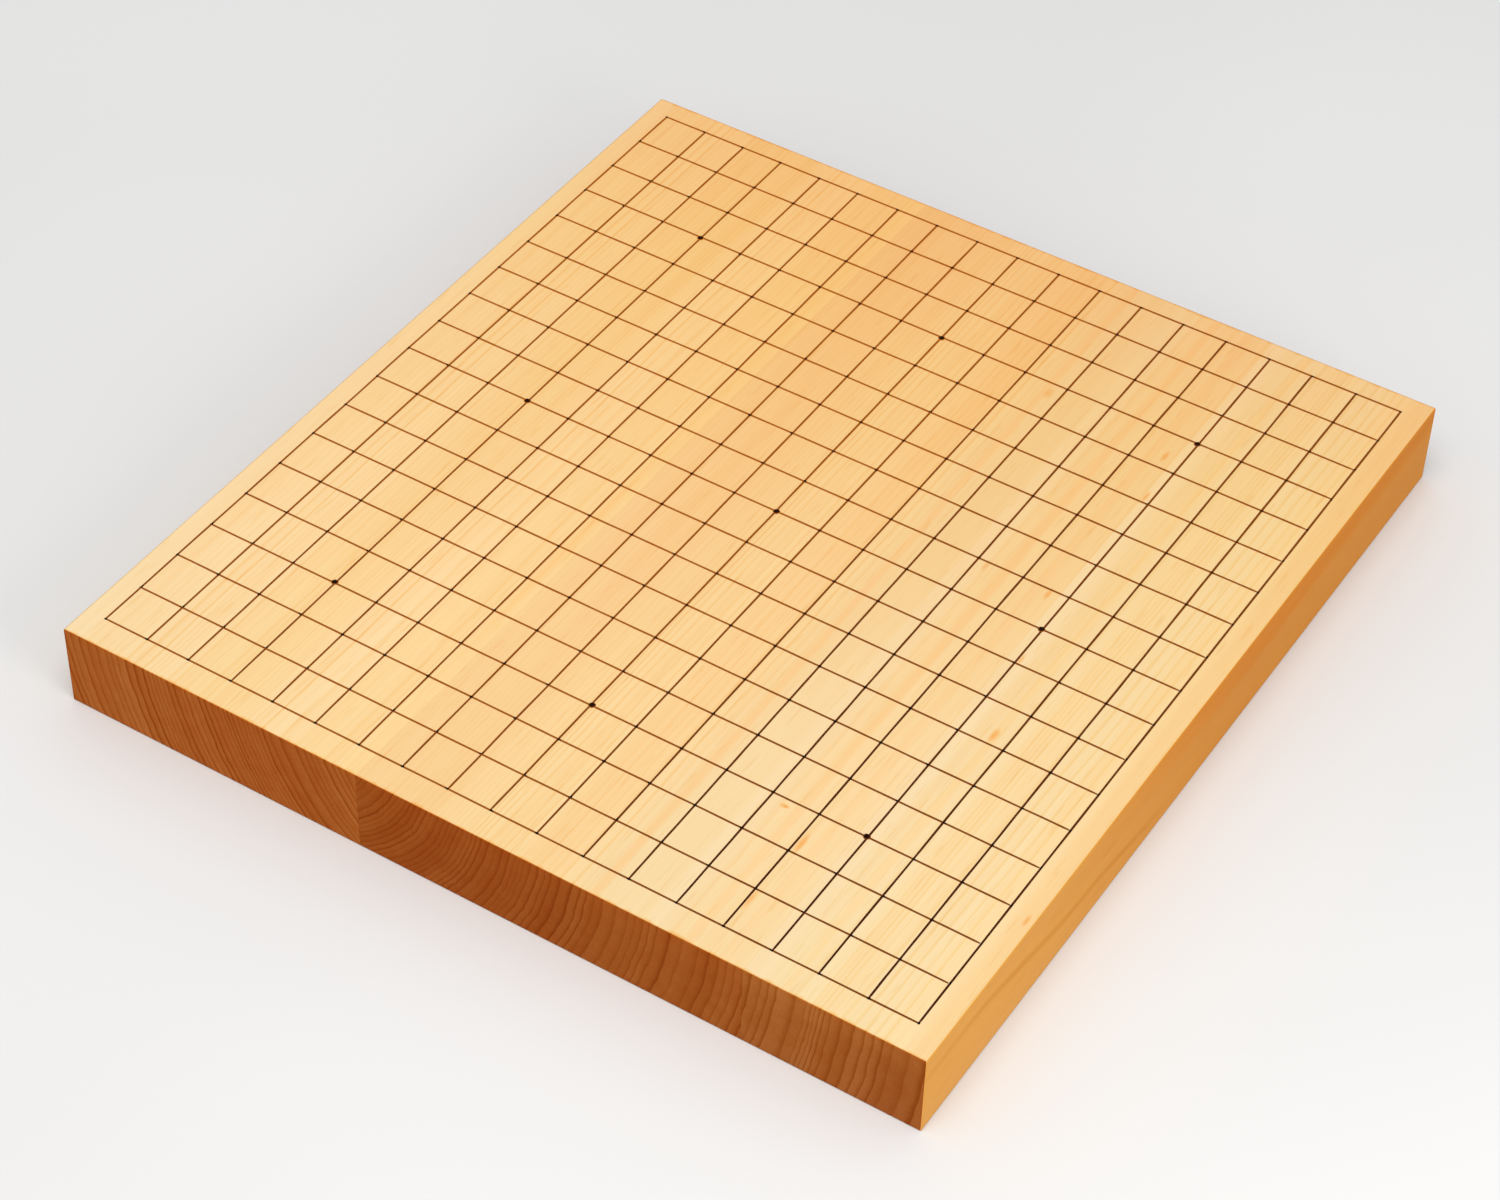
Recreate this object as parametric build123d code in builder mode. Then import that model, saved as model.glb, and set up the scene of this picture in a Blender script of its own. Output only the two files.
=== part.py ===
"""Weiqi board: three solid planks glued edge to edge, planed flush and ruled with a lacquer grid.

X runs across the grain, Y along the grain and Z up. The origin is the middle of the underside.
"""

import os

from build123d import *

# Playing field: equal counts of lines both ways, on cells a little longer than wide
line_count = 19
cell_across = 22.0
cell_along = 23.7
star_inset_count = 3  # cells from a border to the nearest star points

# Bare wood between the outermost lines and the edges of the board
margin_left = 10.7
margin_right = 12.3
margin_near = 14.8
margin_far = 11.5

# Planks and the glue between them
thickness = 41.4
left_plank_width = 152.0
right_plank_width = 82.0
glue_film = 0.1
edge_ease = 0.6

# Lacquer: the cross strokes lie over the length strokes, and the star points over both
stroke_width = 1.1
stroke_top_width = 0.6
length_stroke_height = 0.14
cross_stroke_lap = 0.08
star_point_diameter = 3.4
star_point_lap = 0.16

# Sizes that follow
field_width = (line_count - 1) * cell_across
field_length = (line_count - 1) * cell_along
board_width = margin_left + field_width + margin_right
board_length = margin_near + field_length + margin_far
field_left = margin_left - board_width / 2
field_near = margin_near - board_length / 2
field_middle_x = field_left + field_width / 2
field_middle_y = field_near + field_length / 2
left_joint = left_plank_width - board_width / 2
right_joint = board_width / 2 - right_plank_width
cross_stroke_height = length_stroke_height + cross_stroke_lap
star_point_height = cross_stroke_height + star_point_lap
star_lines = [star_inset_count, line_count // 2, line_count - 1 - star_inset_count]

os.makedirs("parts", exist_ok=True)


def finish(piece, name):
    """Label a finished piece and write it."""
    piece.label = name
    export_step(piece, f"parts/{name}.step")


def stroke_profile(height):
    """Draw the section of a lacquer stroke, flat below and drawn in towards its top."""
    base_corners = [(-stroke_width / 2, 0), (stroke_width / 2, 0)]
    top_corners = [(stroke_top_width / 2, height), (-stroke_top_width / 2, height)]
    Polygon(*base_corners, *top_corners, align=None)


# The glued slab, planed as one and eased along all its edges
with BuildPart() as slab:
    Box(board_width, board_length, thickness, align=(Align.CENTER, Align.CENTER, Align.MIN))
    fillet(slab.edges(), radius=edge_ease)

# The planks and the glue lines are slices of the slab, from left to right
left_glue_faces = [Plane.YZ.offset(left_joint + side * glue_film / 2) for side in (-1, 1)]
right_glue_faces = [Plane.YZ.offset(right_joint + side * glue_film / 2) for side in (-1, 1)]

with BuildPart() as left_plank:
    add(slab.part)
    split(bisect_by=left_glue_faces[0], keep=Keep.BOTTOM)
finish(left_plank.part, "left_plank")

with BuildPart() as left_glue_line:
    add(slab.part)
    split(bisect_by=left_glue_faces[0], keep=Keep.TOP)
    split(bisect_by=left_glue_faces[1], keep=Keep.BOTTOM)
finish(left_glue_line.part, "left_glue_line")

with BuildPart() as middle_plank:
    add(slab.part)
    split(bisect_by=left_glue_faces[1], keep=Keep.TOP)
    split(bisect_by=right_glue_faces[0], keep=Keep.BOTTOM)
finish(middle_plank.part, "middle_plank")

with BuildPart() as right_glue_line:
    add(slab.part)
    split(bisect_by=right_glue_faces[0], keep=Keep.TOP)
    split(bisect_by=right_glue_faces[1], keep=Keep.BOTTOM)
finish(right_glue_line.part, "right_glue_line")

with BuildPart() as right_plank:
    add(slab.part)
    split(bisect_by=right_glue_faces[1], keep=Keep.TOP)
finish(right_plank.part, "right_plank")

# Length lines, ruled along the grain straight on the wood, from left to right
length_lines = []
for index in range(line_count):
    line_x = field_left + index * cell_across
    stroke_middle = Plane((line_x, field_middle_y, thickness), x_dir=(1, 0, 0), z_dir=(0, -1, 0))
    with BuildPart() as length_line:
        with BuildSketch(stroke_middle):
            stroke_profile(length_stroke_height)
        extrude(amount=(field_length + stroke_width) / 2, both=True)
    length_lines.append(length_line.part)
    finish(length_line.part, f"length_line_{index + 1:02d}")

# Cross lines, ruled over the length lines and bedded on them, from near to far
cross_lines = []
for index in range(line_count):
    line_y = field_near + index * cell_along
    stroke_middle = Plane((field_middle_x, line_y, thickness), x_dir=(0, 1, 0), z_dir=(1, 0, 0))
    with BuildPart() as cross_line:
        with BuildSketch(stroke_middle):
            stroke_profile(cross_stroke_height)
        extrude(amount=(field_width + stroke_width) / 2, both=True)
        add(length_lines, mode=Mode.SUBTRACT)
    cross_lines.append(cross_line.part)
    finish(cross_line.part, f"cross_line_{index + 1:02d}")

# Star points, domed drops of lacquer over the crossings they stand on, row by row from near left
star_places = [(column, row) for row in star_lines for column in star_lines]
for number, (column, row) in enumerate(star_places, start=1):
    crossing_x = field_left + column * cell_across
    crossing_y = field_near + row * cell_along
    drop_axis = Plane((crossing_x, crossing_y, thickness), x_dir=(1, 0, 0), z_dir=(0, -1, 0))
    with BuildPart() as star_point:
        with BuildSketch(drop_axis):
            with BuildLine():
                base_line = Line((0, 0), (star_point_diameter / 2, 0))
                axis_line = Line((0, 0), (0, star_point_height))
                TangentArc(axis_line @ 1, base_line @ 1, tangent=(1, 0))
            make_face()
        revolve(axis=Axis((crossing_x, crossing_y, thickness), (0, 0, 1)))
        add(length_lines[column], mode=Mode.SUBTRACT)
        add(cross_lines[row], mode=Mode.SUBTRACT)
    finish(star_point.part, f"star_point_{number}")
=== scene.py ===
"""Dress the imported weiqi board: edge-glued planks under a satin finish, ruled with beads of lacquer."""

import math
import random

import bpy
from mathutils import Matrix, Vector


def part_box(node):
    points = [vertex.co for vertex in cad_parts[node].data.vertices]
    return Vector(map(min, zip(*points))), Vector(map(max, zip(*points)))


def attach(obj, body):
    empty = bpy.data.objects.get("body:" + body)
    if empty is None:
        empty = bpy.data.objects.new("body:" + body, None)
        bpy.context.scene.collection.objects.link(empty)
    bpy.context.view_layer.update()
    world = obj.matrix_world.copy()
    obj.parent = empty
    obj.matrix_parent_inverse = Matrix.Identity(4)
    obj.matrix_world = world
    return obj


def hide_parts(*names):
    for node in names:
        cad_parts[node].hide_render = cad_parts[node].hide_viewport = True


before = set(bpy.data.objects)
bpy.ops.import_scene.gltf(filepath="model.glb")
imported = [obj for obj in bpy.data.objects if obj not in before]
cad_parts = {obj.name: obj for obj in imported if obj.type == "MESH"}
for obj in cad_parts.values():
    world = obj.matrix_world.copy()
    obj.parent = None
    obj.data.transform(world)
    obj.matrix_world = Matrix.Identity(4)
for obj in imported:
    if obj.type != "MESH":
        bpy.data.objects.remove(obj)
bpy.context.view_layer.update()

MM = 0.001
PLANKS = ("left_plank", "middle_plank", "right_plank")
GLUE_LINES = ("left_glue_line", "right_glue_line")
LINE_COUNT = 19

# The slab, from the outer corners of its planks
slab_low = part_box("left_plank")[0]
slab_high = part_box("right_plank")[1]
top_z = slab_high.z

# Camera at the photograph's viewing angle
AIM = Vector((0.01951, -0.05168, top_z))
CAMERA_DISTANCE = 1.552
CAMERA_AZIMUTH = math.radians(31.291)
CAMERA_ELEVATION = math.radians(43.706)
CAMERA_ROLL = math.radians(1.753)
LENS_MM = 87.91
SENSOR_MM = 36.0


def from_left(distance_mm):
    """X of a place measured across the board from its left side."""
    return slab_low.x + distance_mm * MM


def from_far(distance_mm):
    """Y of a place measured along the board from its far end."""
    return slab_high.y - distance_mm * MM


def node_middle(node):
    """The middle of a solid's box."""
    low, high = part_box(node)
    return (low + high) / 2


# Colour sockets of the Mix node, which has others of the same names
MIX_FACTOR, MIX_FIRST, MIX_SECOND, MIX_RESULT = 0, 6, 7, 2

# Limits that soft noise seldom passes
NOISE_LOW, NOISE_HIGH = 0.3, 0.7


class NodeSheet:
    """A node tree with short ways to add nodes and join their sockets."""

    def __init__(self, tree):
        self.tree = tree

    def add(self, kind, **settings):
        """Add a node and set its options."""
        node = self.tree.nodes.new(kind)
        for option, value in settings.items():
            setattr(node, option, value)
        return node

    def join(self, socket, value):
        """Link a socket to another, or give it a plain value."""
        if isinstance(value, bpy.types.NodeSocket):
            self.tree.links.new(value, socket)
        else:
            socket.default_value = value

    def maths(self, operation, *values):
        """Work out one number from others."""
        node = self.add("ShaderNodeMath", operation=operation)
        for socket, value in zip(node.inputs, values):
            self.join(socket, value)
        return node.outputs["Value"]

    def product(self, first, *others):
        """Multiply numbers together."""
        result = first
        for value in others:
            result = self.maths("MULTIPLY", result, value)
        return result

    def largest(self, first, *others):
        """The largest of several numbers."""
        result = first
        for value in others:
            result = self.maths("MAXIMUM", result, value)
        return result

    def apart(self, first, second):
        """How far two numbers lie apart."""
        return self.maths("ABSOLUTE", self.maths("SUBTRACT", first, second))

    def hypotenuse(self, first, second):
        """The length of the long side over two square sides."""
        squares = self.maths("ADD", self.maths("POWER", first, 2.0), self.maths("POWER", second, 2.0))
        return self.maths("SQRT", squares)

    def vector(self, operation, *values):
        """Work out a vector from others."""
        node = self.add("ShaderNodeVectorMath", operation=operation)
        for socket, value in zip(node.inputs, values):
            self.join(socket, value)
        return node.outputs["Vector"]

    def scaled(self, vector, factor):
        """A vector times a number."""
        node = self.add("ShaderNodeVectorMath", operation="SCALE")
        self.join(node.inputs[0], vector)
        self.join(node.inputs["Scale"], factor)
        return node.outputs["Vector"]

    def parts(self, vector):
        """The X, Y and Z of a vector."""
        node = self.add("ShaderNodeSeparateXYZ")
        self.join(node.inputs["Vector"], vector)
        return node.outputs

    def rise(self, value, low, high, to_low=0.0, to_high=1.0):
        """Ease from one value to another between two limits."""
        node = self.add("ShaderNodeMapRange", interpolation_type="SMOOTHSTEP")
        names = ("Value", "From Min", "From Max", "To Min", "To Max")
        for name, given in zip(names, (value, low, high, to_low, to_high)):
            self.join(node.inputs[name], given)
        return node.outputs["Result"]

    def fall(self, value, low, high):
        """Ease from one down to nought between two limits."""
        return self.rise(value, low, high, 1.0, 0.0)

    def between(self, mask, at_nought, at_one):
        """Ease from one value to another as a mask goes from nought to one."""
        return self.rise(mask, 0.0, 1.0, at_nought, at_one)

    def spread(self, noise, to_low=0.0, to_high=1.0):
        """Spread soft noise, which keeps to its middle, over a whole range."""
        return self.rise(noise, NOISE_LOW, NOISE_HIGH, to_low, to_high)

    def noise(self, vector, stretch=None, detail=2.0, roughness=0.5):
        """Soft noise over a place, which may first be stretched along each axis."""
        if stretch:
            vector = self.vector("MULTIPLY", vector, stretch)
        node = self.add("ShaderNodeTexNoise", noise_dimensions="3D")
        self.join(node.inputs["Vector"], vector)
        self.join(node.inputs["Scale"], 1.0)
        self.join(node.inputs["Detail"], detail)
        self.join(node.inputs["Roughness"], roughness)
        return node.outputs

    def noise_along(self, value):
        """Soft noise over one number."""
        node = self.add("ShaderNodeTexNoise", noise_dimensions="1D")
        self.join(node.inputs["W"], value)
        self.join(node.inputs["Scale"], 1.0)
        self.join(node.inputs["Detail"], 1.0)
        return node.outputs["Fac"]

    def chance(self, value):
        """A settled random number for each whole number."""
        node = self.add("ShaderNodeTexWhiteNoise", noise_dimensions="1D")
        self.join(node.inputs["W"], value)
        return node.outputs["Value"]

    def mix(self, factor, first, second, mode="MIX"):
        """Blend two colours, each from a socket or plain red, green and blue."""
        node = self.add("ShaderNodeMix", data_type="RGBA", blend_type=mode)
        self.join(node.inputs[MIX_FACTOR], factor)
        for index, colour in ((MIX_FIRST, first), (MIX_SECOND, second)):
            self.join(node.inputs[index], (*colour, 1.0) if isinstance(colour, tuple) else colour)
        return node.outputs[MIX_RESULT]

    def tint(self, mask, colour, tint):
        """Multiply a colour by a plain tint where a mask lies."""
        return self.mix(mask, colour, tint, mode="MULTIPLY")

    def effect(self, group, **values):
        """Place a shared effect, with socket names written with underscores for spaces."""
        node = self.add("ShaderNodeGroup", node_tree=group)
        for name, value in values.items():
            self.join(node.inputs[name.replace("_", " ")], value)
        return node.outputs

    def bump(self, shader, height, strength, distance):
        """Raise a shader's surface by a height."""
        node = self.add("ShaderNodeBump")
        self.join(node.inputs["Height"], height)
        self.join(node.inputs["Strength"], strength)
        self.join(node.inputs["Distance"], distance)
        self.join(shader.inputs["Normal"], node.outputs["Normal"])


def effect_group(name, inputs, outputs):
    """Start a shared effect with named sockets, and return it with its sheet, inputs and outputs."""
    group = bpy.data.node_groups.new(name, "ShaderNodeTree")
    for socket_name, kind in inputs:
        group.interface.new_socket(name=socket_name, in_out="INPUT", socket_type=kind)
    for socket_name, kind in outputs:
        group.interface.new_socket(name=socket_name, in_out="OUTPUT", socket_type=kind)
    sheet = NodeSheet(group)
    given = sheet.add("NodeGroupInput").outputs
    result = sheet.add("NodeGroupOutput").inputs
    return group, sheet, given, result


NUMBER = "NodeSocketFloat"
VECTOR = "NodeSocketVector"


# Years: waves of weather and of decades to the metre of radius, and the years that weather shifts
WEATHER_WAVES = 45.0
WEATHER_YEARS = 2.6
DECADE_WAVES = 75.0
DECADE_START = 40.0

# Depths below the face between which a resin fleck fades out
FLECK_FADE_START = 1 * MM
FLECK_FADE_END = 6 * MM


def growth_rings_group():
    """Year rings round a leaning pith, with slow years grown close together and a wandering grain."""
    group, sheet, given, result = effect_group(
        "growth_rings",
        [
            ("Vector", VECTOR),
            ("Pith", VECTOR),
            ("Lean", NUMBER),
            ("Ring Width", NUMBER),
            ("Slow From", NUMBER),
            ("Slow To", NUMBER),
            ("Slow Years", NUMBER),
            ("Wander", NUMBER),
            ("Ripple", NUMBER),
            ("Shift", VECTOR),
        ],
        [("Latewood", NUMBER), ("Year Shade", NUMBER), ("Tone", NUMBER), ("Sway", NUMBER)],
    )

    # Grain that wanders slowly and ripples finely
    place = given["Vector"]
    for reach, stretch, detail in (("Wander", (7.0, 3.2, 7.0), 0.0), ("Ripple", (90.0, 18.0, 90.0), 2.0)):
        spread = sheet.vector("ADD", sheet.vector("MULTIPLY", given["Vector"], stretch), given["Shift"])
        drift = sheet.vector("SUBTRACT", sheet.noise(spread, detail=detail)["Color"], (0.5, 0.5, 0.5))
        place = sheet.vector("ADD", place, sheet.scaled(drift, given[reach]))
    sway = sheet.parts(sheet.vector("SUBTRACT", place, given["Vector"]))["X"]

    # Years counted out from the pith, wider and narrower with the weather
    spoke = sheet.parts(sheet.vector("SUBTRACT", place, given["Pith"]))
    across = sheet.maths("SUBTRACT", spoke["X"], sheet.maths("MULTIPLY", spoke["Y"], given["Lean"]))
    radius = sheet.hypotenuse(across, spoke["Z"])
    luck = sheet.parts(given["Shift"])["X"]
    weather = sheet.noise_along(sheet.maths("MULTIPLY_ADD", radius, WEATHER_WAVES, luck))
    years = sheet.maths("DIVIDE", radius, given["Ring Width"])
    years = sheet.maths("MULTIPLY_ADD", weather, WEATHER_YEARS, years)
    slow = sheet.rise(radius, given["Slow From"], given["Slow To"])
    years = sheet.maths("MULTIPLY_ADD", slow, given["Slow Years"], years)
    season = sheet.maths("FRACT", years)
    tone = sheet.chance(sheet.maths("ADD", sheet.maths("FLOOR", years), luck))

    # A dark line at the close of each year, over wood that deepens through the year
    build_up = sheet.maths("POWER", sheet.rise(season, 0.45, 0.92), 2.2)
    strength = sheet.maths("MULTIPLY_ADD", sheet.maths("POWER", tone, 1.6), 0.8, 0.2)
    latewood = sheet.product(build_up, sheet.fall(season, 0.92, 1.0), strength)
    ripening = sheet.product(sheet.maths("POWER", season, 1.8), sheet.fall(season, 0.93, 1.0))
    year_shade = sheet.product(ripening, sheet.between(tone, 0.6, 1.0))
    decade_start = sheet.maths("ADD", luck, DECADE_START)
    decade = sheet.noise_along(sheet.maths("MULTIPLY_ADD", radius, DECADE_WAVES, decade_start))
    sheet.join(result["Latewood"], latewood)
    sheet.join(result["Year Shade"], year_shade)
    sheet.join(result["Tone"], sheet.spread(decade))
    sheet.join(result["Sway"], sway)
    return group


def fibre_group():
    """Fibres that run along the plank: fine streaks, broad soft streaks and short resin canals."""
    group, sheet, given, result = effect_group(
        "fibre",
        [("Vector", VECTOR), ("Seed", NUMBER)],
        [("Fine Streak", NUMBER), ("Broad Streak", NUMBER), ("Resin Canal", NUMBER)],
    )
    place = sheet.vector("ADD", given["Vector"], sheet.scaled((7.7, 2.9, 4.1), given["Seed"]))
    fine = sheet.noise(place, (1500.0, 26.0, 1500.0), detail=3.0, roughness=0.6)["Fac"]
    broad = sheet.noise(place, (140.0, 4.0, 140.0))["Fac"]
    canal = sheet.noise(place, (900.0, 55.0, 900.0), detail=0.0)["Fac"]
    sheet.join(result["Fine Streak"], fine)
    sheet.join(result["Broad Streak"], broad)
    sheet.join(result["Resin Canal"], sheet.rise(canal, 0.68, 0.8))
    return group


def cut_faces_group():
    """Tell the sawn ends and the long sides from the planed face, by the way the surface faces."""
    group, sheet, given, result = effect_group(
        "cut_faces",
        [("Normal", VECTOR)],
        [("End", NUMBER), ("Side", NUMBER)],
    )
    turn = sheet.parts(sheet.vector("ABSOLUTE", given["Normal"]))
    for name, own, other in (("End", turn["Y"], turn["X"]), ("Side", turn["X"], turn["Y"])):
        lead = sheet.maths("MULTIPLY_ADD", other, -1.2, own)
        sheet.join(result[name], sheet.rise(lead, 0.05, 0.4))
    return group


def arris_group():
    """The eased edges of a slab, where a warm glow is painted: places close to two of its faces at once, and
    places close to its ends.
    """
    group, sheet, given, result = effect_group(
        "arris",
        [("Vector", VECTOR), ("Low", VECTOR), ("High", VECTOR), ("Reach", NUMBER)],
        [("Edge", NUMBER), ("End Edge", NUMBER)],
    )
    below = sheet.vector("SUBTRACT", given["High"], given["Vector"])
    above = sheet.vector("SUBTRACT", given["Vector"], given["Low"])
    depth = sheet.parts(sheet.vector("MINIMUM", below, above))
    lesser = sheet.maths("MINIMUM", depth["X"], depth["Y"])
    greater = sheet.maths("MAXIMUM", depth["X"], depth["Y"])
    second = sheet.maths("MAXIMUM", lesser, sheet.maths("MINIMUM", greater, depth["Z"]))
    # Noise that varies how far the painted glow reaches along the edges
    glow_noise = sheet.noise(given["Vector"], (160.0, 160.0, 160.0))["Fac"]
    glow_spread = sheet.spread(glow_noise, 0.7, 1.6)
    for name, distance in (("Edge", second), ("End Edge", depth["Y"])):
        sheet.join(result[name], sheet.fall(sheet.product(distance, glow_spread), 0.0, given["Reach"]))
    return group


def resin_fleck_group():
    """One spindle-shaped fleck of resin that lies along the grain, just under the face."""
    group, sheet, given, result = effect_group(
        "resin_fleck",
        [("Vector", VECTOR), ("Place", VECTOR), ("Half Width", NUMBER), ("Half Length", NUMBER)],
        [("Fleck", NUMBER)],
    )
    part = sheet.parts(sheet.vector("SUBTRACT", given["Vector"], given["Place"]))
    across = sheet.maths("DIVIDE", part["X"], given["Half Width"])
    along = sheet.maths("DIVIDE", part["Y"], given["Half Length"])
    reach = sheet.hypotenuse(across, along)
    shallow = sheet.rise(part["Z"], -FLECK_FADE_END, -FLECK_FADE_START)
    sheet.join(result["Fleck"], sheet.product(sheet.fall(reach, 0.15, 1.0), shallow))
    return group


def heart_band_group():
    """A soft stripe of another colour along the plank."""
    group, sheet, given, result = effect_group(
        "heart_band",
        [("Vector", VECTOR), ("Sway", NUMBER), ("Middle", NUMBER), ("Half Width", NUMBER)],
        [("Band", NUMBER)],
    )
    across = sheet.maths("ADD", sheet.parts(given["Vector"])["X"], given["Sway"])
    reach = sheet.maths("DIVIDE", sheet.apart(across, given["Middle"]), given["Half Width"])
    sheet.join(result["Band"], sheet.fall(reach, 0.3, 1.0))
    return group


GROWTH_RINGS = growth_rings_group()
FIBRE = fibre_group()
CUT_FACES = cut_faces_group()
ARRIS = arris_group()
RESIN_FLECK = resin_fleck_group()
HEART_BAND = heart_band_group()


def new_material(name):
    """An empty material with its shader, and the sheet to draw its nodes on."""
    material = bpy.data.materials.new(name)
    material.use_nodes = True
    material.node_tree.nodes.clear()
    sheet = NodeSheet(material.node_tree)
    shader = sheet.add("ShaderNodeBsdfPrincipled")
    output = sheet.add("ShaderNodeOutputMaterial")
    sheet.join(output.inputs["Surface"], shader.outputs["BSDF"])
    return material, sheet, shader


# Colours of the bands on the planks' faces
BLOND = (0.84, 0.640, 0.372)
PALE = (0.795, 0.620, 0.375)
CREAM = (0.78, 0.588, 0.322)
HONEY = (0.82, 0.562, 0.248)
YOLK = (0.82, 0.540, 0.200)
ROSE = (0.81, 0.520, 0.241)
STRAW = (0.785, 0.548, 0.270)

# Woods: each plank's pith in mm from the left side and above the top, its years and its colours.
# Lean is how far the pith shifts to the right for each length along the board.
# Slow years are a radius they start at, a radius they end at and a count.
# Face line, side line and year depth say how strongly the years show on face, side and end.
# Far shade is painted shade that darkens and warms the face towards the far end, and end top tints the upper
# part of the ends.
# Bands are a place in mm from the left side, a half width, a depth and a colour.
# End bands are a place in mm from the left side, a half width and a tint.
WOODS = {
    "left_plank": {
        "pith": (215.0, 28.0),
        "lean": 0.0,
        "ring_width_mm": 4.3,
        "slow_years": (95.0, 190.0, 8.0),
        "wander_mm": 4.0,
        "shift": (9.3, 5.1, 15.9),
        "face": (0.84, 0.609, 0.320),
        "face_late": (0.79, 0.460, 0.150),
        "face_line": 0.85,
        "side_line": 0.8,
        "year_depth": 1.2,
        "far_shade": (0.99, 0.865, 0.64),
        "end": (0.442, 0.132, 0.0236),
        "end_top": (0.99, 0.98, 0.96),
        "bands": [
            (4.5, 9.0, 0.85, BLOND),
            (77.0, 26.0, 0.55, HONEY),
            (131.0, 17.0, 0.45, HONEY),
            (148.0, 7.0, 0.4, YOLK),
        ],
        "end_bands": [
            (95.0, 60.0, (0.96, 0.90, 0.86)),
            (136.0, 22.0, (0.945, 0.905, 0.83)),
        ],
    },
    "middle_plank": {
        "pith": (115.0, 20.0),
        "lean": 0.0,
        "ring_width_mm": 4.6,
        "slow_years": (20.0, 150.0, 16.0),
        "wander_mm": 4.0,
        "shift": (34.1, 18.7, 58.3),
        "face": (0.81, 0.577, 0.287),
        "face_late": (0.77, 0.445, 0.140),
        "face_line": 0.82,
        "side_line": 0.8,
        "year_depth": 0.82,
        "far_shade": (0.99, 0.872, 0.67),
        "end": (0.361, 0.099, 0.0160),
        "end_top": (1.03, 1.01, 0.93),
        "bands": [
            (168.0, 44.0, 0.6, ROSE),
            (243.0, 14.0, 0.45, ROSE),
            (280.0, 32.0, 0.8, CREAM),
            (322.0, 34.0, 0.6, CREAM),
            (296.5, 8.0, 0.6, PALE),
            (267.2, 3.0, 0.65, ROSE),
            (310.8, 3.0, 0.6, ROSE),
            (326.8, 2.8, 0.35, ROSE),
        ],
        "end_bands": [
            (205.0, 75.0, (0.945, 0.84, 0.75)),
            (166.0, 17.0, (0.985, 0.95, 0.86)),
        ],
    },
    "right_plank": {
        "pith": (115.6, 20.0),
        "lean": 0.0095,
        "ring_width_mm": 5.2,
        "slow_years": (250.0, 268.0, 3.0),
        "wander_mm": 2.0,
        "shift": (38.4, 21.7, 65.7),
        "face": (0.785, 0.606, 0.341),
        "face_late": (0.74, 0.485, 0.165),
        "face_line": 0.85,
        "side_line": 0.15,
        "year_depth": 0.88,
        "far_shade": (0.993, 0.910, 0.735),
        "end": (0.380, 0.119, 0.0235),
        "end_top": (1.09, 1.16, 1.14),
        "bands": [
            (338.0, 26.0, 0.8, CREAM),
            (340.0, 9.0, 0.75, PALE),
            (355.5, 2.8, 0.35, HONEY),
            (374.0, 13.0, 0.22, HONEY),
            (404.0, 10.0, 0.3, HONEY),
            (415.5, 9.0, 0.9, STRAW),
        ],
        "end_bands": [
            (400.0, 30.0, (0.98, 0.95, 0.96)),
            (405.0, 17.0, (0.955, 0.91, 0.88)),
        ],
    },
}

# Resin flecks of the top face: mm from the left side, mm from the far end, half width, half length and depth
RESIN_FLECKS = [
    (332.5, 98.0, 1.8, 5.5, 0.9),
    (338.0, 126.5, 1.6, 6.0, 0.95),
    (332.5, 204.5, 1.8, 5.0, 0.85),
    (301.5, 204.0, 1.6, 5.0, 0.65),
    (342.5, 245.5, 1.2, 5.0, 0.85),
    (355.0, 290.0, 2.3, 6.0, 1.0),
    (304.5, 371.0, 2.9, 1.7, 1.0),
    (305.5, 371.0, 1.6, 1.0, 0.7),
    (321.0, 384.5, 2.1, 8.5, 1.0),
    (268.5, 89.0, 2.5, 5.5, 0.65),
    (415.5, 370.5, 1.4, 5.0, 0.9),
    (320.0, 420.5, 1.4, 8.5, 0.85),
    (146.5, 305.0, 4.5, 95.0, 0.22),
]

# Tints of the planed face
STREAK_TINT = (0.99, 0.95, 0.895)
FLECK_TINT = (0.98, 0.69, 0.40)
FAR_END_TINT = (1.0, 0.955, 0.985)
NEAR_END_TINT = (0.98, 1.0, 1.01)
# Orange along the face's end edges: the end grain's colour on the rounding, with a painted glow of light
FACE_END_GLOW_TINT = (0.97, 0.72, 0.40)

# Colours and tints of the long sides. Their wood is darker and warmer than the face, partly as painted shade,
# and the far shade tint is painted shade towards the far end
SHADED_SIDE_WOOD = (0.655, 0.315, 0.071)
SHADED_SIDE_LATEWOOD = (0.56, 0.21, 0.037)
SIDE_FAR_SHADE_TINT = (0.90, 0.77, 0.61)
DARK_YEAR_TINT = (0.89, 0.76, 0.56)
GLOW_TINT = (0.99, 0.86, 0.63)
SIDE_STREAK_TINT = (0.99, 0.94, 0.85)
SIDE_FOOT_TINT = (1.0, 1.03, 1.18)

# Shares of a plank's end colour in its spring wood, summer wood and latewood, and tints of the ends
END_SHARES = ((1.07, 1.15, 1.44), (0.87, 0.74, 0.40), (0.66, 0.44, 0.14))
END_LINE_DEPTH = 0.85
END_TONE_TINT = (0.92, 0.83, 0.69)
END_STREAK_TINT = (0.96, 0.89, 0.79)
END_FOOT_TINT = (1.03, 1.08, 1.18)

# Tints of the whole plank
FIBRE_TINT = (0.60, 0.33, 0.12)
CANAL_TINT = (0.975, 0.92, 0.84)
# Warm tints along the eased edges: painted glow of light catching and shining through the rounded arris
ARRIS_GLOW_TINT = (0.96, 0.95, 0.77)
END_ARRIS_GLOW_TINT = (1.0, 0.905, 0.83)

# Where the painted shade of face and sides deepens, measured from the near end, and how far the tints of the
# face's ends reach
FACE_FAR_SHADE_START = 45 * MM
SIDE_FAR_SHADE_START = 40 * MM
SIDE_FAR_SHADE_END = 290 * MM
FACE_END_REACH = 110 * MM

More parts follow.
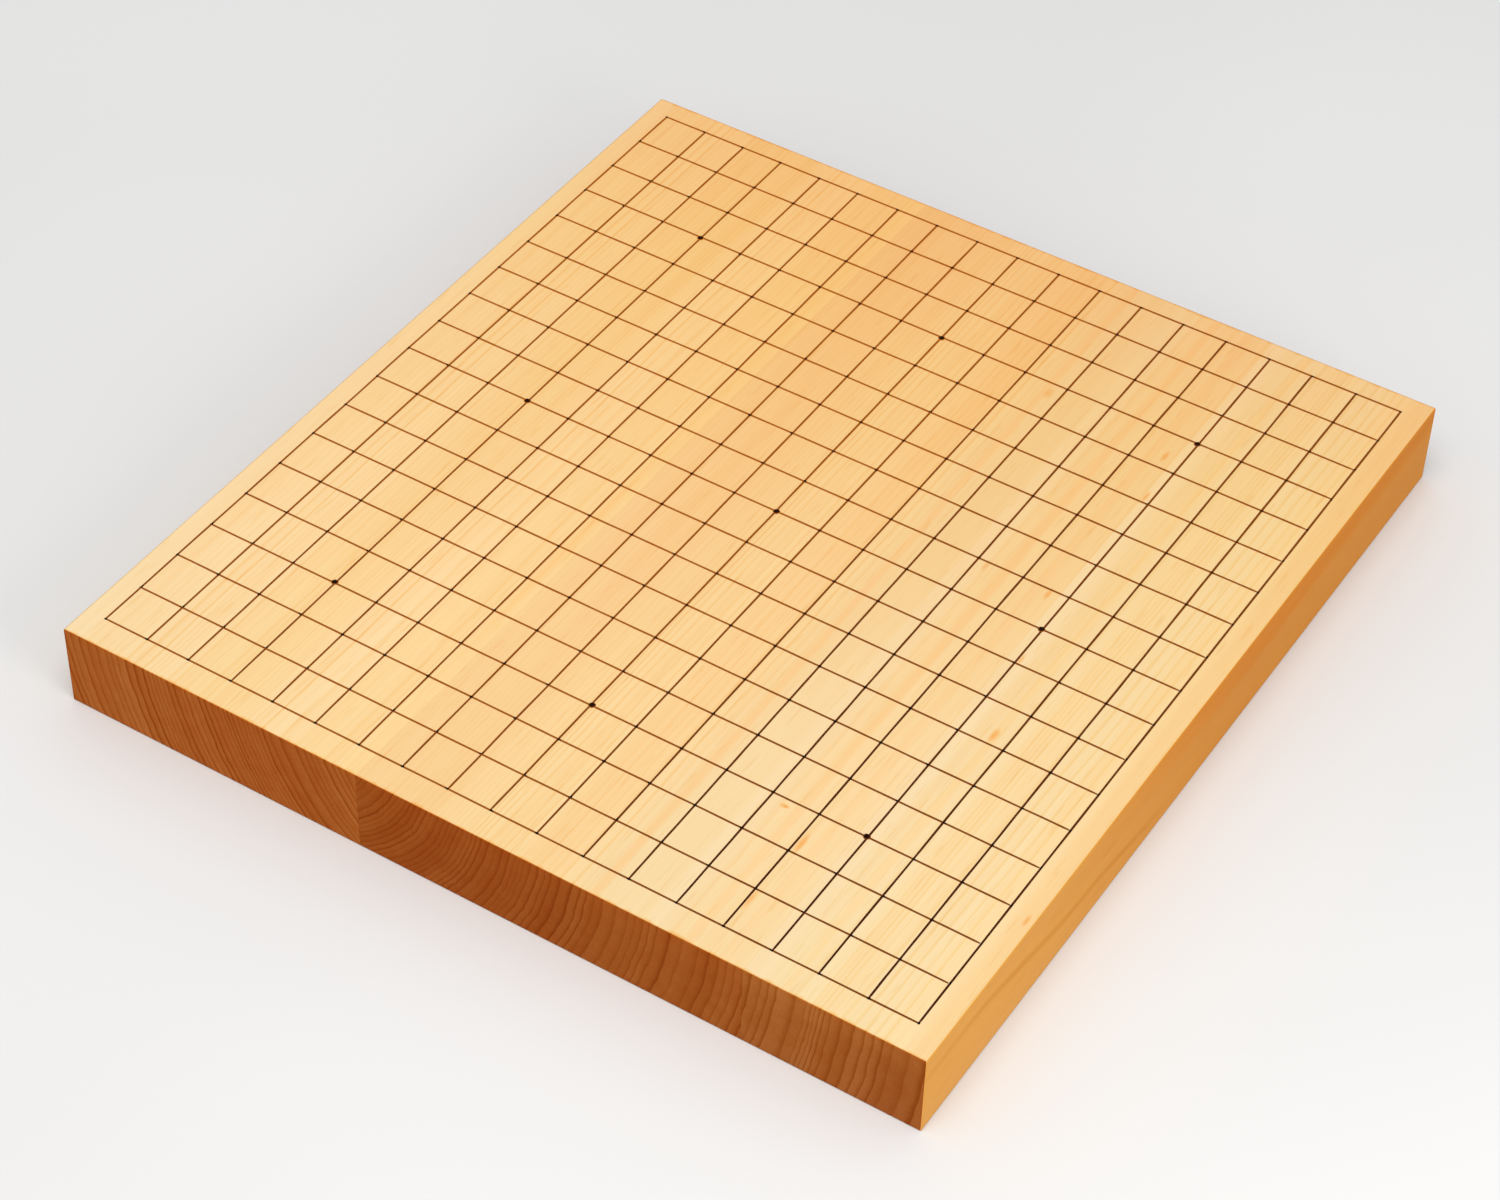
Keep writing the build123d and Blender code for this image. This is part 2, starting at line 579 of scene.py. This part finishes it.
# Depths below the top between which the ends' upper tint fades out and their foot's tint sets in
END_TOP_FADE = (2 * MM, 16 * MM)
END_FOOT_FADE = (26 * MM, 40 * MM)

# Depth of the fine fibre on the face and on the ends, and the weight of the face's coat
FACE_FIBRE = 0.07
END_FIBRE = 0.2
FACE_COAT = 0.3

# Roughness of the planed face, and what fibre, latewood and a sawn end add to it
FACE_ROUGHNESS = 0.46
FIBRE_ROUGHNESS = 0.08
LATEWOOD_ROUGHNESS = -0.08
END_ROUGHNESS = 0.15

# Reach of the painted glow along the eased edges, ripple of the grain, and relief of the wood and the lacquer
ARRIS_REACH = 1.8 * MM
GRAIN_RIPPLE = 2 * MM
GRAIN_RELIEF = 0.2 * MM
LACQUER_RELIEF = 0.05 * MM


def band_mask(sheet, place, sway, middle_mm, half_width_mm):
    """Where a band lies, from its place and half width."""
    outputs = sheet.effect(
        HEART_BAND,
        Vector=place,
        Sway=sway,
        Middle=from_left(middle_mm),
        Half_Width=half_width_mm * MM,
    )
    return outputs["Band"]


def planed_face(sheet, place, node_name, wood, rings, streak):
    """Colour of the face: cream wood, orange latewood, bands, soft streaks, resin flecks, and painted shade
    deepening towards the far end.
    """
    face_line = sheet.product(rings["Latewood"], wood["face_line"])
    colour = sheet.mix(face_line, wood["face"], wood["face_late"])
    for middle, half_width, depth, band_colour in wood["bands"]:
        band = band_mask(sheet, place, rings["Sway"], middle, half_width)
        colour = sheet.mix(sheet.product(band, depth), colour, band_colour)
    colour = sheet.tint(streak, colour, STREAK_TINT)

    low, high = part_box(node_name)
    for from_side, from_end, half_width, half_length, depth in RESIN_FLECKS:
        spot = (from_left(from_side), from_far(from_end), top_z)
        if low.x < spot[0] < high.x:
            fleck = sheet.effect(
                RESIN_FLECK,
                Vector=place,
                Place=spot,
                Half_Width=half_width * MM,
                Half_Length=half_length * MM,
            )
            colour = sheet.tint(sheet.product(fleck["Fleck"], depth), colour, FLECK_TINT)

    # Painted shade: the face darkens and warms towards the far end
    along = sheet.parts(place)["Y"]
    far_shade = sheet.rise(along, slab_low.y + FACE_FAR_SHADE_START, slab_high.y)
    colour = sheet.tint(far_shade, colour, wood["far_shade"])
    far_end = sheet.rise(along, slab_high.y - FACE_END_REACH, slab_high.y)
    colour = sheet.tint(far_end, colour, FAR_END_TINT)
    near_end = sheet.fall(along, slab_low.y, slab_low.y + FACE_END_REACH)
    return sheet.tint(near_end, colour, NEAR_END_TINT)


def long_side(sheet, place, wood, rings):
    """Colour of the sides: the same years cut flat, darker and warmer than the face partly as painted shade,
    with painted shade deepening towards the far end.
    """
    side_line = sheet.product(rings["Latewood"], wood["side_line"])
    # Side wood, darker and warmer than the face: partly its own colour, partly painted shade
    colour = sheet.mix(side_line, SHADED_SIDE_WOOD, SHADED_SIDE_LATEWOOD)
    along = sheet.parts(place)["Y"]
    # Painted shade: the sides darken and warm towards the far end
    far_shade = sheet.rise(along, slab_low.y + SIDE_FAR_SHADE_START, slab_low.y + SIDE_FAR_SHADE_END)
    return sheet.tint(far_shade, colour, SIDE_FAR_SHADE_TINT)


def right_side_figure(sheet, place, colour, streak):
    """The right side's own figure: a dark year that dips along it, a glow, a streak and a pale near foot."""
    # Places run along from the near end, and depths down from the top
    at = sheet.parts(place)
    along = sheet.maths("SUBTRACT", at["Y"], slab_low.y)
    depth = sheet.maths("SUBTRACT", top_z, at["Z"])

    first_dip = sheet.rise(along, 30 * MM, 130 * MM, 11 * MM, 25 * MM)
    second_dip = sheet.rise(along, 120 * MM, 210 * MM, 0.0, 10 * MM)
    offset = sheet.apart(depth, sheet.maths("ADD", first_dip, second_dip))
    fade = sheet.product(sheet.rise(along, 10 * MM, 70 * MM, 0.4, 1.0), sheet.fall(along, 150 * MM, 215 * MM))
    grain = sheet.between(streak, 0.6, 1.0)
    dark_year = sheet.product(sheet.fall(offset, 0.2 * MM, 3.6 * MM), fade, grain)
    colour = sheet.tint(dark_year, colour, DARK_YEAR_TINT)

    upper = sheet.fall(depth, 8 * MM, 20 * MM)
    further = sheet.rise(along, 90 * MM, 240 * MM)
    glow = sheet.product(upper, further, sheet.between(streak, 0.7, 1.0))
    colour = sheet.tint(glow, colour, GLOW_TINT)

    rising_depth = sheet.rise(along, 240 * MM, 430 * MM, 13 * MM, 5 * MM)
    closeness = sheet.fall(sheet.apart(depth, rising_depth), 1 * MM, 6 * MM)
    late_streak = sheet.product(closeness, sheet.rise(along, 200 * MM, 280 * MM))
    colour = sheet.tint(late_streak, colour, SIDE_STREAK_TINT)

    near_foot = sheet.product(sheet.rise(depth, 20 * MM, 40 * MM), sheet.fall(along, 0.0, 220 * MM))
    return sheet.tint(near_foot, colour, SIDE_FOOT_TINT)


def sawn_end(sheet, place, wood, rings, streak):
    """Colour of the ends: the same years cut across, darker and redder than the face."""
    spring, summer, late = (
        tuple(share * channel for share, channel in zip(shares, wood["end"])) for shares in END_SHARES
    )
    colour = sheet.mix(sheet.product(rings["Year Shade"], wood["year_depth"]), spring, summer)
    colour = sheet.mix(sheet.product(rings["Latewood"], END_LINE_DEPTH * wood["year_depth"]), colour, late)
    for middle, half_width, band_tint in wood["end_bands"]:
        colour = sheet.tint(band_mask(sheet, place, rings["Sway"], middle, half_width), colour, band_tint)
    colour = sheet.tint(rings["Tone"], colour, END_TONE_TINT)
    colour = sheet.tint(streak, colour, END_STREAK_TINT)
    depth = sheet.maths("SUBTRACT", top_z, sheet.parts(place)["Z"])
    colour = sheet.tint(sheet.fall(depth, *END_TOP_FADE), colour, wood["end_top"])
    return sheet.tint(sheet.rise(depth, *END_FOOT_FADE), colour, END_FOOT_TINT)


def plank_wood(node_name, wood):
    """Pale straight-grained softwood under a thin satin finish, darker on its sawn ends."""
    material, sheet, shader = new_material(f"{node_name}_wood")
    place_node = sheet.add("ShaderNodeTexCoord")
    place = place_node.outputs["Object"]
    pith_from_left, pith_above = wood["pith"]
    slow_from, slow_to, slow_years = wood["slow_years"]
    rings = sheet.effect(
        GROWTH_RINGS,
        Vector=place,
        Pith=(from_left(pith_from_left), 0.0, top_z + pith_above * MM),
        Lean=wood["lean"],
        Ring_Width=wood["ring_width_mm"] * MM,
        Slow_From=slow_from * MM,
        Slow_To=slow_to * MM,
        Slow_Years=slow_years,
        Wander=wood["wander_mm"] * MM,
        Ripple=GRAIN_RIPPLE,
        Shift=wood["shift"],
    )
    fibre = sheet.effect(FIBRE, Vector=place, Seed=wood["shift"][0])
    cut = sheet.effect(CUT_FACES, Normal=place_node.outputs["Normal"])
    arris = sheet.effect(ARRIS, Vector=place, Low=slab_low, High=slab_high, Reach=ARRIS_REACH)
    streak = sheet.spread(fibre["Broad Streak"])
    fine = sheet.rise(fibre["Fine Streak"], 0.25, 0.75)

    # Face, sides and ends
    colour = planed_face(sheet, place, node_name, wood, rings, streak)
    # Painted glow along the end edges, partly the end grain's colour on the rounding
    colour = sheet.tint(arris["End Edge"], colour, FACE_END_GLOW_TINT)
    side_colour = long_side(sheet, place, wood, rings)
    if node_name == "right_plank":
        side_colour = right_side_figure(sheet, place, side_colour, streak)
    colour = sheet.mix(cut["Side"], colour, side_colour)
    colour = sheet.mix(cut["End"], colour, sawn_end(sheet, place, wood, rings, streak))

    # Fibre, resin canals, and painted glow along the eased edges all over
    fine_depth = sheet.product(fine, sheet.between(cut["End"], FACE_FIBRE, END_FIBRE))
    colour = sheet.tint(fine_depth, colour, FIBRE_TINT)
    colour = sheet.tint(fibre["Resin Canal"], colour, CANAL_TINT)
    # Painted glow of light along every eased edge
    colour = sheet.tint(arris["Edge"], colour, ARRIS_GLOW_TINT)
    colour = sheet.tint(sheet.product(arris["Edge"], arris["End Edge"]), colour, END_ARRIS_GLOW_TINT)

    # Satin over the face, and bare wood on the sides and ends
    roughness = sheet.maths("MULTIPLY_ADD", fine, FIBRE_ROUGHNESS, FACE_ROUGHNESS)
    roughness = sheet.maths("MULTIPLY_ADD", rings["Latewood"], LATEWOOD_ROUGHNESS, roughness)
    roughness = sheet.maths("MULTIPLY_ADD", cut["End"], END_ROUGHNESS, roughness)
    bare = sheet.maths("MAXIMUM", cut["End"], cut["Side"])
    relief = sheet.maths("MULTIPLY_ADD", rings["Latewood"], 0.5, sheet.product(fine, 0.5))
    sheet.bump(shader, relief, strength=0.12, distance=GRAIN_RELIEF)
    sheet.join(shader.inputs["Base Color"], colour)
    sheet.join(shader.inputs["Roughness"], roughness)
    sheet.join(shader.inputs["Coat Weight"], sheet.between(bare, FACE_COAT, 0.0))
    shader.inputs["Specular IOR Level"].default_value = 0.01
    shader.inputs["Coat Roughness"].default_value = 0.32
    return material


# Lacquer, from a thin edge to a pool
THIN_LACQUER = (0.39, 0.105, 0.005)
THICK_LACQUER = (0.050, 0.009, 0.001)
POOLED_LACQUER = (0.013, 0.003, 0.001)

# Shares of the lacquer that the cross strokes carry, in their load and in their body
CROSS_LOAD = 0.68
CROSS_BODY = 0.6

# Glue on the face and on the ends, each in its paler and its deeper patches
FACE_GLUE = ((0.76, 0.50, 0.22), (0.68, 0.41, 0.15))
END_GLUE = ((0.27, 0.060, 0.004), (0.21, 0.040, 0.003))


def crossing_mask(sheet, place):
    """Where a stroke passes over another and the lacquer lies double."""
    at = sheet.parts(place)
    first, last = node_middle("length_line_01"), node_middle(f"length_line_{LINE_COUNT}")
    near, far = node_middle("cross_line_01"), node_middle(f"cross_line_{LINE_COUNT}")
    distances = []
    for axis, start, end in (("X", first.x, last.x), ("Y", near.y, far.y)):
        half_pitch = (end - start) / (LINE_COUNT - 1) / 2
        distances.append(sheet.maths("PINGPONG", sheet.maths("SUBTRACT", at[axis], start), half_pitch))
    return sheet.fall(sheet.largest(*distances), 0.6 * MM, 1.0 * MM)


def line_lacquer():
    """Brown-black lacquer that dried dull, and lets the wood's warmth through at its thin edges."""
    material, sheet, shader = new_material("line_lacquer")
    place_node = sheet.add("ShaderNodeTexCoord")
    place = place_node.outputs["Object"]
    at = sheet.parts(place)
    turn = sheet.parts(sheet.vector("ABSOLUTE", place_node.outputs["Normal"]))
    cloud = sheet.noise(place, (240.0, 240.0, 240.0), detail=3.0)["Fac"]
    grain = sheet.noise(place, (2600.0, 500.0, 2600.0))["Fac"]

    # Cross strokes and drops, told by the way they face and how high they stand
    length_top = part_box("length_line_01")[1].z
    cross_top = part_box("cross_line_01")[1].z
    cross_flank = sheet.rise(turn["Y"], 0.05, 0.35)
    cross_crown = sheet.rise(at["Z"], length_top + 0.005 * MM, length_top + 0.025 * MM)
    cross = sheet.largest(cross_flank, cross_crown)
    drop = sheet.rise(at["Z"], cross_top + 0.002 * MM, cross_top + 0.025 * MM)
    crossing = crossing_mask(sheet, place)

    # The pen ran fuller towards the right and the near end, and leaner on the cross strokes
    to_right = sheet.rise(at["X"], from_left(190), from_left(315), 0.0, 0.5)
    to_near = sheet.rise(at["Y"], slab_low.y, slab_high.y, 0.5, 0.0)
    load = sheet.product(sheet.maths("ADD", to_right, to_near), sheet.between(cross, 1.0, CROSS_LOAD))
    body = sheet.product(
        sheet.rise(turn["Z"], 0.90, 0.985),
        sheet.between(load, 0.3, 0.9),
        sheet.between(cross, 1.0, CROSS_BODY),
        sheet.rise(cloud, 0.35, 0.75, 1.0, 0.75),
        sheet.rise(at["X"], from_left(11), from_left(45), 0.55, 1.0),
    )
    thick = sheet.largest(body, load, drop, crossing)
    near_load = sheet.rise(sheet.maths("MULTIPLY_ADD", to_right, 0.4, to_near), 0.3, 0.6)
    pooled = sheet.largest(drop, sheet.product(crossing, near_load))
    colour = sheet.mix(thick, THIN_LACQUER, THICK_LACQUER)
    colour = sheet.mix(pooled, colour, POOLED_LACQUER)
    sheet.bump(shader, grain, strength=0.2, distance=LACQUER_RELIEF)
    sheet.join(shader.inputs["Base Color"], colour)
    sheet.join(shader.inputs["Roughness"], sheet.spread(cloud, 0.42, 0.6))
    shader.inputs["Specular IOR Level"].default_value = 0.03
    return material


def set_glue():
    """Amber glue, scraped flush with the face and dull brown on the ends."""
    material, sheet, shader = new_material("set_glue")
    place_node = sheet.add("ShaderNodeTexCoord")
    cut = sheet.effect(CUT_FACES, Normal=place_node.outputs["Normal"])
    cloud = sheet.noise(place_node.outputs["Object"], (90.0, 60.0, 90.0), detail=3.0)["Fac"]
    patch = sheet.spread(cloud)
    face_colour = sheet.mix(patch, *FACE_GLUE)
    end_colour = sheet.mix(patch, *END_GLUE)
    sheet.join(shader.inputs["Base Color"], sheet.mix(cut["End"], face_colour, end_colour))
    sheet.join(shader.inputs["Roughness"], sheet.spread(cloud, 0.4, 0.6))
    shader.inputs["Specular IOR Level"].default_value = 0.02
    return material


# Hand ruling: how far strokes stray from true, ripple, swell, thin out towards the near end and stop short
LINE_STRAY = 0.55 * MM
LINE_SKEW = 0.5 * MM
LINE_RIPPLE = 0.035 * MM
RIPPLE_COUNT = 3
RIPPLE_SPANS = (20 * MM, 120 * MM)
RIPPLE_SIZES = (0.3, 1.0)
SWELL_SPAN_SHARE = 0.6
WIDTH_SWELL = 0.035
LENGTH_TAPER = 0.12
CROSS_TAPER = 0.16
BORDER_GAP = 0.15 * MM

# Beads of lacquer: the sides of a bead, the spacing of its sections, its blunt ends, roundness and bed
BEAD_SIDES = 8
STATION_STEP = 2.5 * MM
FEWEST_STATIONS = 8
BLUNT_END = 0.72
BEAD_ROUNDNESS = 0.8
BEAD_BED = 0.03 * MM

# Drops of lacquer: points round a drop, rings of points, and the lobes of its rim
DROP_SPOKES = 28
DROP_ROUNDS = 6
DROP_LOBES = (2, 3, 5)
LOBE_SIZE = 0.035

# First seeds of the gaps at the right border and of the drops
GAP_SEED = 1000
DROP_SEED = 500


def add_piece(name, corners, faces):
    """Make a smooth-shaded mesh piece from its corners and faces."""
    mesh = bpy.data.meshes.new(name)
    mesh.from_pydata([tuple(corner) for corner in corners], [], faces)
    mesh.shade_smooth()
    piece = bpy.data.objects.new(name, mesh)
    bpy.context.scene.collection.objects.link(piece)
    return piece


def bead_section(width, height):
    """Half section of a bead of lacquer, from one foot over its crown to the other foot."""
    points = []
    for step in range(BEAD_SIDES + 1):
        angle = math.pi * step / BEAD_SIDES
        rise = math.sin(angle) ** BEAD_ROUNDNESS
        points.append((math.cos(angle) * width / 2, rise * (height + BEAD_BED) - BEAD_BED))
    return points


def ruled_bead(name, start, end, width, height, taper, slack, seed):
    """A lacquer stroke ruled by hand: a low rippled bead, finer near by its taper, off true by its slack."""
    draw = random.Random(seed)
    along = (end - start).normalized()
    across = Vector((0, 0, 1)).cross(along)
    length = (end - start).length
    ripples = []
    for _ in range(RIPPLE_COUNT):
        span = draw.uniform(*RIPPLE_SPANS)
        phase = draw.uniform(0, math.tau)
        size = draw.uniform(*RIPPLE_SIZES)
        ripples.append((span, phase, size))
    stray = slack * draw.uniform(-LINE_STRAY, LINE_STRAY)
    skew = slack * draw.uniform(-LINE_SKEW, LINE_SKEW)
    stations = max(FEWEST_STATIONS, round(length / STATION_STEP))
    corners = []
    for station in range(stations + 1):
        share = station / stations
        wave, swell = 0.0, 0.0
        for span, phase, size in ripples:
            turn = math.tau * share * length / span
            wave += size * math.sin(turn + phase)
            swell += size * math.sin(turn / SWELL_SPAN_SHARE - phase)
        course = stray + skew * (share - 0.5) + LINE_RIPPLE * wave
        here = start + along * (share * length) + across * course
        ending = min(1.0, BLUNT_END + (1 - BLUNT_END) * min(station, stations - station))
        thinning = 1 - taper * (slab_high.y - here.y) / (slab_high.y - slab_low.y)
        breadth = width * thinning * (1 + WIDTH_SWELL * swell) * ending
        for side, lift in bead_section(breadth, height * ending):
            corners.append(here + across * side + Vector((0, 0, lift)))
    ring = BEAD_SIDES + 1
    faces = [tuple(range(ring)), tuple(reversed(range(stations * ring, (stations + 1) * ring)))]
    for station in range(stations):
        first = station * ring
        for side in range(ring):
            following = (side + 1) % ring
            faces.append((first + side, first + ring + side, first + ring + following, first + following))
    return add_piece(name, corners, faces)


def lacquer_drop(name, centre, width, height, seed):
    """A star point: a drop of lacquer that spread into a low dome with an uneven rim."""
    draw = random.Random(seed)
    lobes = [(order, draw.uniform(0.0, LOBE_SIZE), draw.uniform(0, math.tau)) for order in DROP_LOBES]
    corners = [centre + Vector((0, 0, height))]
    for level in range(1, DROP_ROUNDS + 1):
        slope = math.pi / 2 * level / DROP_ROUNDS
        for spoke in range(DROP_SPOKES):
            angle = math.tau * spoke / DROP_SPOKES
            bulge = sum(size * math.cos(order * angle + phase) for order, size, phase in lobes)
            reach = width / 2 * math.sin(slope) * (1 + bulge * level / DROP_ROUNDS)
            lift = height * math.cos(slope) - (BEAD_BED if level == DROP_ROUNDS else 0)
            corners.append(centre + Vector((reach * math.cos(angle), reach * math.sin(angle), lift)))
    faces = [(0, 1 + spoke, 1 + (spoke + 1) % DROP_SPOKES) for spoke in range(DROP_SPOKES)]
    for level in range(DROP_ROUNDS - 1):
        inner = 1 + level * DROP_SPOKES
        outer = inner + DROP_SPOKES
        for spoke in range(DROP_SPOKES):
            following = (spoke + 1) % DROP_SPOKES
            faces.append((inner + spoke, outer + spoke, outer + following, inner + following))
    rim = 1 + (DROP_ROUNDS - 1) * DROP_SPOKES
    faces.append(tuple(reversed(range(rim, rim + DROP_SPOKES))))
    return add_piece(name, corners, faces)


def keep(piece, node, material):
    """Let a piece stand for a solid of the frame, in its lacquer."""
    piece.data.materials.append(material)
    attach(piece, "root")
    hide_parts(node)


def lay_lacquer(material):
    """Rule the grid and set the star points, each in the place of its plain solid."""
    border_ends = ("_01", f"_{LINE_COUNT}")
    right_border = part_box(f"length_line_{LINE_COUNT}")[0].x
    line_names = sorted(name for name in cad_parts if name.startswith(("length_line", "cross_line")))
    for seed, node in enumerate(line_names):
        low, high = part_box(node)
        middle = node_middle(node)
        on_border = node.endswith(border_ends)
        if node.startswith("length"):
            start, end = Vector((middle.x, low.y, top_z)), Vector((middle.x, high.y, top_z))
            width, taper = high.x - low.x, LENGTH_TAPER
        else:
            gap = random.Random(GAP_SEED + seed).uniform(0, BORDER_GAP)
            stop = high.x if on_border else right_border - gap
            start, end = Vector((low.x, middle.y, top_z)), Vector((stop, middle.y, top_z))
            width, taper = high.y - low.y, CROSS_TAPER
        slack = 0.0 if on_border else 1.0
        name = node.replace("line", "stroke")
        stroke = ruled_bead(name, start, end, width, high.z - top_z, taper, slack, seed)
        keep(stroke, node, material)
    star_names = sorted(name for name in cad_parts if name.startswith("star_point"))
    for seed, node in enumerate(star_names):
        low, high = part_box(node)
        middle = node_middle(node)
        centre = Vector((middle.x, middle.y, top_z))
        name = node.replace("point", "drop")
        drop = lacquer_drop(name, centre, high.x - low.x, high.z - top_z, DROP_SEED + seed)
        keep(drop, node, material)


def paint(node, material):
    """Give a solid of the frame its finish."""
    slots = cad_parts[node].data.materials
    slots.clear()
    slots.append(material)


# Floor: half its breadth, how far it lies below the board, and its two tones
FLOOR_REACH = 12.0
FLOOR_DROP = 0.2 * MM
FLOOR_TONES = ((0.69, 0.685, 0.675), (0.73, 0.725, 0.715))


def lay_floor():
    """A wide pale floor just under the board."""
    quarters = ((-1, -1), (1, -1), (1, 1), (-1, 1))
    corners = [(FLOOR_REACH * x, FLOOR_REACH * y, -FLOOR_DROP) for x, y in quarters]
    floor = add_piece("floor", corners, [(0, 1, 2, 3)])
    material, sheet, shader = new_material("pale_floor")
    place = sheet.add("ShaderNodeTexCoord").outputs["Object"]
    cloud = sheet.noise(place, (1.6, 1.6, 1.6))["Fac"]
    sheet.join(shader.inputs["Base Color"], sheet.mix(sheet.spread(cloud), *FLOOR_TONES))
    shader.inputs["Roughness"].default_value = 0.75
    shader.inputs["Specular IOR Level"].default_value = 0.2
    floor.data.materials.append(material)


def soft_light(name, place, aim, size, power, colour):
    """A rectangular softbox that faces a point."""
    lamp = bpy.data.lights.new(name, "AREA")
    lamp.shape = "RECTANGLE"
    lamp.size, lamp.size_y = size
    lamp.energy = power
    lamp.color = colour
    light = bpy.data.objects.new(name, lamp)
    light.location = place
    light.rotation_euler = (Vector(aim) - Vector(place)).to_track_quat("-Z", "Y").to_euler()
    bpy.context.scene.collection.objects.link(light)


def light_studio():
    """Soft light from above the near side, a weaker one from the right, and a pale room."""
    board_middle = (0.0, 0.0, top_z)
    soft_light(
        "overhead_softbox",
        place=(0.3, -0.8, 2.2),
        aim=board_middle,
        size=(1.3, 1.3),
        power=27.0,
        colour=(1.0, 0.98, 0.95),
    )
    soft_light(
        "right_softbox",
        place=(1.4, -0.50, 0.65),
        aim=board_middle,
        size=(0.6, 0.8),
        power=7.5,
        colour=(1.0, 0.97, 0.93),
    )
    world = bpy.data.worlds.new("pale_room")
    world.use_nodes = True
    background = world.node_tree.nodes["Background"]
    background.inputs["Color"].default_value = (0.95, 0.97, 1.0, 1.0)
    background.inputs["Strength"].default_value = 0.72
    bpy.context.scene.world = world


def place_camera():
    """Stand the camera where the photograph was taken from."""
    back = Vector((
        math.sin(CAMERA_AZIMUTH) * math.cos(CAMERA_ELEVATION),
        -math.cos(CAMERA_AZIMUTH) * math.cos(CAMERA_ELEVATION),
        math.sin(CAMERA_ELEVATION),
    ))
    lens = bpy.data.cameras.new("camera")
    lens.lens = LENS_MM
    lens.sensor_width = SENSOR_MM
    camera = bpy.data.objects.new("camera", lens)
    level = (-back).to_track_quat("-Z", "Y").to_matrix()
    turn = level @ Matrix.Rotation(CAMERA_ROLL, 3, "Z")
    camera.matrix_world = Matrix.Translation(AIM + back * CAMERA_DISTANCE) @ turn.to_4x4()
    bpy.context.scene.collection.objects.link(camera)
    bpy.context.scene.camera = camera


for plank in PLANKS:
    paint(plank, plank_wood(plank, WOODS[plank]))
glue = set_glue()
for glue_line in GLUE_LINES:
    paint(glue_line, glue)
lay_lacquer(line_lacquer())
lay_floor()
light_studio()
place_camera()
bpy.context.scene.view_settings.view_transform = "Standard"
